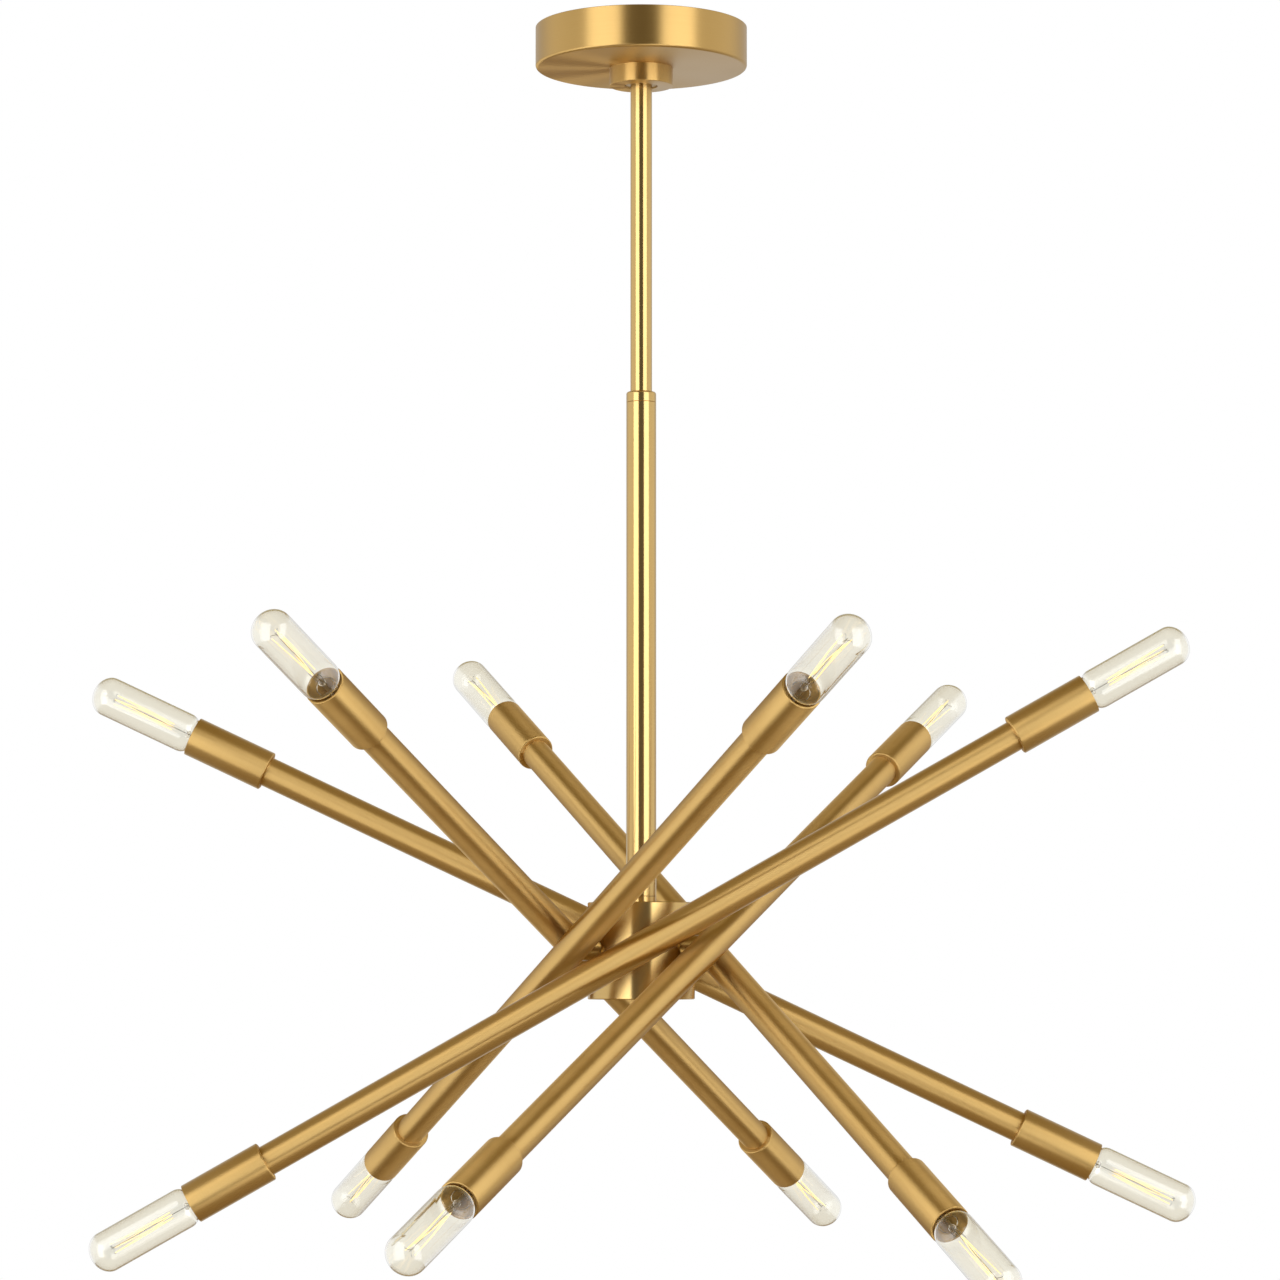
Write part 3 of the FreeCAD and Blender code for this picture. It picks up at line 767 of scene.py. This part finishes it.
class CHANDELIER_OT_sockets(bpy.types.Operator):
    """Model the lamp sockets and the bulbs' screw caps inside the cups"""

    bl_idname = "chandelier.sockets"
    bl_label = "Sockets and caps"

    def execute(self, context):
        arms = context.scene.chandelier_arms
        bulb = context.scene.chandelier_bulb
        back = arms.half_length + arms.cup_floor
        front = back + arms.socket_length
        body = arms.socket / 2
        face = arms.socket_front / 2
        bore = arms.socket_bore / 2
        lip = 0.5 * MM
        hole = 2 * MM
        floor = back + 9 * MM
        step = front - 5 * MM
        outline = [(hole, back), (body, back), (body, step), (face, step), (face, front - lip),
                   (face - lip, front), (bore + lip, front), (bore, front - lip), (bore, floor),
                   (hole, floor), (hole, back)]
        socket = turn("socket", outline, segments=64)
        to_every_arm(socket, "lamp_sockets", material_named("socket_phenolic"), "moulded_socket")
        start = arms.half_length + bulb.cap_start
        thread = start + 2 * MM
        skirt = thread + bulb.cap_thread
        crest = bulb.cap / 2
        root = crest - 0.35 * MM
        turns = 8
        pitch = bulb.cap_thread / turns
        outline = [(hole, start), (root, thread)]
        for i in range(turns):
            outline += arc((root, thread + (i + 0.5) * pitch), (crest - root, pitch * 0.45), -90, 90, 4)
        wide = bulb.cap_skirt / 2
        sheet = 1 * MM
        outline += [(wide, skirt + sheet), (wide, skirt + 2 * sheet), (wide - sheet, skirt + 2 * sheet),
                    (wide - sheet, skirt), (hole, start + sheet), (hole, start)]
        cap = turn("cap", outline, segments=48)
        to_every_arm(cap, "bulb_caps", material_named("cap_brass"), "cap_metal")
        return {"FINISHED"}


def glass_start(arms, bulb):
    """Middle of the arm to where a bulb's glass begins, inside its cap."""
    return arms.half_length + bulb.cap_start + bulb.cap_thread + GLASS_PAST_THREAD


class CHANDELIER_OT_bulbs(bpy.types.Operator):
    """Model the blown glass tubes"""

    bl_idname = "chandelier.bulbs"
    bl_label = "Bulb glass"

    def execute(self, context):
        arms = context.scene.chandelier_arms
        bulb = context.scene.chandelier_bulb
        mouth = arms.half_length + arms.cup_length
        neck = bulb.neck / 2
        radius = bulb.glass / 2
        start = glass_start(arms, bulb)
        full = mouth + bulb.full_past_cup
        dome = mouth + bulb.past_cup - bulb.dome
        outline = [(neck, start)]
        outline += arc((neck, full), (radius - neck, bulb.shoulder), -90, 0, 12)
        outline += arc((0, dome), (radius, bulb.dome), 0, 90, 16)[:-1]
        outline += [(0, mouth + bulb.past_cup)]
        glass = turn("glass", outline, segments=72, smooth_angle=60)
        apply_modifier(glass, "SOLIDIFY", thickness=bulb.glass_wall, offset=-1.0, use_even_offset=True)
        bpy.ops.object.shade_smooth_by_angle(angle=math.radians(60))
        to_every_arm(glass, "bulb_glass", material_named("bulb_glass"), "clear_glass")
        return {"FINISHED"}


class CHANDELIER_OT_filaments(bpy.types.Operator):
    """Model the glass mount, its wires and the filament inside each bulb"""

    bl_idname = "chandelier.filaments"
    bl_label = "Filaments"

    def execute(self, context):
        arms = context.scene.chandelier_arms
        bulb = context.scene.chandelier_bulb
        mouth = arms.half_length + arms.cup_length
        start = glass_start(arms, bulb) + bulb.glass_wall
        end = mouth + 4.5 * MM
        low = mouth + bulb.cage_start
        high = mouth + bulb.past_cup - bulb.cage_end
        cage = bulb.cage / 2
        # The glass narrows from a flare in the cap to a rod with a bead, which holds the centre wire.
        outline = [(4.4 * MM, start), (3.9 * MM, start + 2 * MM), (2.5 * MM, start + 6.5 * MM),
                   (1.5 * MM, start + 9 * MM), (1.3 * MM, end - 4 * MM)]
        outline += arc((0.6 * MM, end - 1.6 * MM), (1.7 * MM, 1.6 * MM), -60, 90, 8)[:-1]
        outline += [(0, end)]
        mount = turn("mount", outline, segments=32, smooth_angle=60)
        wires = []
        bends = [(1.6 * MM, start + 4 * MM), (1.5 * MM, end - 4 * MM), (2.3 * MM, end - 1 * MM),
                 (3.1 * MM, end + 3 * MM), (cage * 0.92, low - 3 * MM), (cage, low)]
        for side in (-1, 1):
            wires.append(wire("lead", [(side * aside, 0, height) for aside, height in bends], bulb.lead))
        wires.append(wire("centre_wire", [(0, 0, end - 2 * MM), (0.1 * MM, 0, (low + high) / 2),
                                          (0, 0.1 * MM, high), (0, 0, high + 0.5 * MM)], bulb.lead))
        # Each hook leaves the centre wire and bends down at its end, as shares of the circle and heights.
        bends = [(0, high - 1.5 * MM), (0.5, high - 0.4 * MM), (0.98, high + 0.1 * MM), (1, high - 0.8 * MM)]
        for i in range(3):
            angle = 2 * math.pi * i / 3 + math.pi / 6
            side = Vector((math.cos(angle), math.sin(angle), 0))
            places = [side * cage * share + Vector((0, 0, height)) for share, height in bends]
            wires.append(wire("hook", places, bulb.lead * 0.8))
        # The strands lean, as they run by turns from a narrow circle below to a wide one above and back.
        strands = 6
        foot = (cage * 0.62, low)
        head = (cage, high)
        points = []
        for i in range(strands + 1):
            angle = 2 * math.pi * i / strands
            reach, height = head if i % 2 else foot
            points.append((reach * math.cos(angle), reach * math.sin(angle), height))
        steps = 12
        most_sway = 0.35 * MM
        path = []
        for (x0, y0, z0), (x1, y1, z1) in zip(points, points[1:]):
            for step in range(steps):
                share = step / steps
                sway = most_sway * math.sin(math.pi * share)
                path.append((x0 + (x1 - x0) * share + sway, y0 + (y1 - y0) * share - sway,
                             z0 + (z1 - z0) * share))
        path.append(points[-1])
        filament = wire("filament_wire", path, bulb.filament, roundness=2)
        to_every_arm(filament, "bulb_filaments", material_named("tungsten"), "filament")
        metal = join(wires, "mount_wires")
        to_every_arm(metal, "mount_wires", material_named("lead_nickel"), "filament", extra=True)
        to_every_arm(mount, "glass_mounts", material_named("pressed_glass"), "clear_glass", extra=True)
        return {"FINISHED"}


# ---- floor, light and camera


def aim(thing, target):
    """Turn a lamp or camera so that it looks at a point."""
    direction = Vector(target) - thing.location
    thing.rotation_euler = direction.to_track_quat("-Z", "Y").to_euler()


def softbox(name, place, target):
    """An upright softbox lamp."""
    bpy.ops.object.light_add(type="AREA", location=place)
    lamp = bpy.context.object
    lamp.name = name
    lamp.data.shape = "RECTANGLE"
    lamp.data.size = SOFTBOX_WIDTH
    lamp.data.size_y = SOFTBOX_HEIGHT
    lamp.data.energy = SOFTBOX_POWER
    lamp.data.color = srgb(SOFTBOX_COLOUR)
    lamp.visible_camera = False
    aim(lamp, target)


def floor_material(tint):
    """Floor that the camera sees white, and that gives its own dim warm tone to what it lights."""
    material, tree, output = new_material("studio_floor")
    ray = add_node(tree, "ShaderNodeLightPath")
    shader = add_node(tree, "ShaderNodeBsdfPrincipled", {"Base Color": (*tint, 1), "Roughness": 0.9})
    pale = add_node(tree, "ShaderNodeBsdfPrincipled",
                    {"Base Color": (0.3, 0.3, 0.3, 1), "Roughness": 0.9, "Emission Color": (1, 1, 1, 1),
                     "Emission Strength": 0.75})
    mix = add_node(tree, "ShaderNodeMixShader",
                   {0: ray.outputs["Is Camera Ray"], 1: shader.outputs[0], 2: pale.outputs[0]})
    tree.links.new(mix.outputs[0], output.inputs[0])
    return material


def smooth_step(tree, value, start, end, before, after):
    """A value that passes softly from one level to another between two limits."""
    step = add_node(tree, "ShaderNodeMapRange", {0: value, 1: start, 2: end, 3: before, 4: after},
                    interpolation_type="SMOOTHSTEP")
    return step.outputs[0]


def studio_world(room_tint):
    """White to the camera and through glass; all other rays meet a studio.

    The studio has white walls level with the light, dim warm tones above and below it, a greyer wall
    behind it and a dark gap in front. Steepness is the height on a unit ball, and headings are radians."""
    world = bpy.data.worlds.new("studio")
    world.use_nodes = True
    tree = world.node_tree
    tree.nodes.clear()
    ray = add_node(tree, "ShaderNodeLightPath")
    place = add_node(tree, "ShaderNodeTexCoord")
    axes = add_node(tree, "ShaderNodeSeparateXYZ", {0: place.outputs["Generated"]})
    steep = add_node(tree, "ShaderNodeMath", {0: axes.outputs["Z"]}, operation="ABSOLUTE")
    level = smooth_step(tree, steep.outputs[0], 0.45, 0.8, 1.0, 0.0)
    forward = add_node(tree, "ShaderNodeMath", {0: axes.outputs["Y"], 1: -1.0}, operation="MULTIPLY")
    heading = add_node(tree, "ShaderNodeMath", {0: axes.outputs["X"], 1: forward.outputs[0]},
                       operation="ARCTAN2")
    aside = add_node(tree, "ShaderNodeMath", {0: heading.outputs[0]}, operation="ABSOLUTE")
    front = smooth_step(tree, aside.outputs[0], 0.3, 0.45, 0.16, 1.06)
    behind = smooth_step(tree, aside.outputs[0], 1.9, 2.5, 1.0, 0.66)
    wall = add_node(tree, "ShaderNodeMath", {0: front, 1: behind}, operation="MULTIPLY")
    walls = add_node(tree, "ShaderNodeCombineColor",
                     {0: wall.outputs[0], 1: wall.outputs[0], 2: wall.outputs[0]})
    mirrored = add_node(tree, "ShaderNodeMix", {0: level, 6: (*room_tint, 1), 7: walls.outputs[0]},
                        data_type="RGBA")
    room = add_node(tree, "ShaderNodeBackground", {"Color": mirrored.outputs[2], "Strength": 1.0})
    white = add_node(tree, "ShaderNodeBackground", {"Color": (1, 1, 1, 1), "Strength": 1.0})
    clear = add_node(tree, "ShaderNodeMath",
                     {0: ray.outputs["Is Camera Ray"], 1: ray.outputs["Is Transmission Ray"]},
                     operation="MAXIMUM")
    seen = add_node(tree, "ShaderNodeMixShader",
                    {0: clear.outputs[0], 1: room.outputs[0], 2: white.outputs[0]})
    add_node(tree, "ShaderNodeOutputWorld", {0: seen.outputs[0]})
    return world


class CHANDELIER_OT_stage(bpy.types.Operator):
    """Set up the floor, the lamps, the white background and the camera"""

    bl_idname = "chandelier.stage"
    bl_label = "Stage"

    def execute(self, context):
        look = context.scene.chandelier_finishes
        low, high = CAD_BOX
        middle = (low + high) / 2
        deselect_all()
        bpy.ops.mesh.primitive_circle_add(vertices=96, radius=FLOOR_RADIUS, fill_type="NGON",
                                          location=(0, 0, FLOOR_HEIGHT))
        floor = bpy.context.object
        floor.name = "floor"
        floor.data.materials.append(floor_material(look.floor))
        context.scene.world = studio_world(look.room)

        centre = (0, 0, middle.z)
        softbox("softbox_left", (-SOFTBOX_ASIDE, -SOFTBOX_IN_FRONT, middle.z), centre)
        softbox("softbox_right", (SOFTBOX_ASIDE, -SOFTBOX_IN_FRONT, middle.z), centre)

        bpy.ops.object.camera_add()
        camera = bpy.context.object
        camera.data.sensor_width = SENSOR_WIDTH
        camera.data.lens = SENSOR_WIDTH * FOCAL_LENGTH / PHOTO_WIDTH
        camera.data.shift_y = (LEVEL_OF_AXIS - PHOTO_WIDTH / 2) / PHOTO_WIDTH
        camera.location = CAMERA_PLACE
        camera.rotation_euler = (math.radians(90 + CAMERA_TILT), 0, 0)
        camera.data.clip_start = 0.05
        camera.data.clip_end = 50
        context.scene.camera = camera
        context.scene.view_settings.view_transform = "Standard"
        return {"FINISHED"}


class CHANDELIER_PT_panel(bpy.types.Panel):
    """Lists the chandelier's operators and settings."""

    bl_label = "Sputnik chandelier"
    bl_idname = "CHANDELIER_PT_panel"
    bl_space_type = "VIEW_3D"
    bl_region_type = "UI"
    bl_category = "Chandelier"

    def draw(self, context):
        for operator in PIECE_OPERATORS:
            self.layout.operator(operator.bl_idname)
        for group in ("chandelier_stem", "chandelier_arms", "chandelier_bulb", "chandelier_finishes"):
            settings = getattr(context.scene, group)
            for key in settings.bl_rna.properties.keys():
                if key not in ("rna_type", "name"):
                    self.layout.prop(settings, key)


SETTINGS = {
    "chandelier_stem": ChandelierStemSizes,
    "chandelier_arms": ChandelierArmSizes,
    "chandelier_bulb": ChandelierBulbSizes,
    "chandelier_finishes": ChandelierFinishes,
}
PIECE_OPERATORS = [
    CHANDELIER_OT_stage,
    CHANDELIER_OT_ceiling_parts,
    CHANDELIER_OT_canopy,
    CHANDELIER_OT_collar,
    CHANDELIER_OT_stem,
    CHANDELIER_OT_hub,
    CHANDELIER_OT_arms,
    CHANDELIER_OT_cups,
    CHANDELIER_OT_sockets,
    CHANDELIER_OT_bulbs,
    CHANDELIER_OT_filaments,
]


def register():
    """Register the classes and the settings."""
    for group in SETTINGS.values():
        bpy.utils.register_class(group)
    for name, group in SETTINGS.items():
        setattr(bpy.types.Scene, name, bpy.props.PointerProperty(type=group))
    for operator in PIECE_OPERATORS:
        bpy.utils.register_class(operator)
    bpy.utils.register_class(CHANDELIER_PT_panel)


def unregister():
    """Take the classes and the settings out again."""
    bpy.utils.unregister_class(CHANDELIER_PT_panel)
    for operator in reversed(PIECE_OPERATORS):
        bpy.utils.unregister_class(operator)
    for name in SETTINGS:
        delattr(bpy.types.Scene, name)
    for group in reversed(list(SETTINGS.values())):
        bpy.utils.unregister_class(group)


def main():
    """Build every piece and the stage."""
    register()
    for operator in PIECE_OPERATORS:
        group, name = operator.bl_idname.split(".")
        getattr(getattr(bpy.ops, group), name)()


if __name__ == "__main__":
    main()
